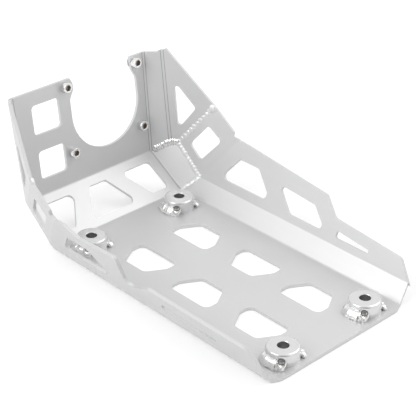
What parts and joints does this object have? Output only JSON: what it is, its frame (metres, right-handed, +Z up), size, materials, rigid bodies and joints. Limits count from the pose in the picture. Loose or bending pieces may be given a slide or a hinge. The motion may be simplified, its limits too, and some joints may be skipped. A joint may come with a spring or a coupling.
{
  "type": "motorcycle skid plate",
  "caption": "Folded aluminium tray that shields a motorcycle's engine, with cut-out windows, raised side walls, a notched front panel and welded mounting bosses.",
  "frame": {"origin": "on the underside of the floor, midway between the four mounting bores", "axes": "+X forward, +Y to the left, +Z up"},
  "size_m": [0.3416, 0.2232, 0.1375],
  "materials": {
    "sheet_aluminium": "fine matt rolled surface",
    "turned_aluminium": "turned, satin",
    "weld_metal": "rippled weld bead, satin",
    "screw_steel": "plain steel",
    "fastener_steel": "zinc plated"
  },
  "bodies": {
    "root": {"boss_front_left": "turned_aluminium", "boss_front_right": "turned_aluminium", "boss_rear_left": "turned_aluminium", "boss_rear_right": "turned_aluminium", "folded_plate": "sheet_aluminium", "nut_1": "fastener_steel", "nut_2": "fastener_steel", "nut_3": "fastener_steel", "nut_4": "fastener_steel", "screw_1": "screw_steel", "screw_2": "screw_steel", "screw_3": "screw_steel", "screw_4": "screw_steel", "washer_1": "fastener_steel", "washer_2": "fastener_steel", "washer_3": "fastener_steel", "washer_4": "fastener_steel", "weld_bevel_left": "weld_metal", "weld_bevel_right": "weld_metal", "weld_boss_front_left_1": "weld_metal", "weld_boss_front_left_2": "weld_metal", "weld_boss_front_right_1": "weld_metal", "weld_boss_front_right_2": "weld_metal", "weld_boss_rear_left_1": "weld_metal", "weld_boss_rear_left_2": "weld_metal", "weld_boss_rear_right_1": "weld_metal", "weld_boss_rear_right_2": "weld_metal", "weld_flange_left": "weld_metal", "weld_flange_right": "weld_metal", "weld_front_left": "weld_metal", "weld_front_right": "weld_metal", "weld_ramp_top_left": "weld_metal", "weld_ramp_top_right": "weld_metal"}
  },
  "joints": []
}
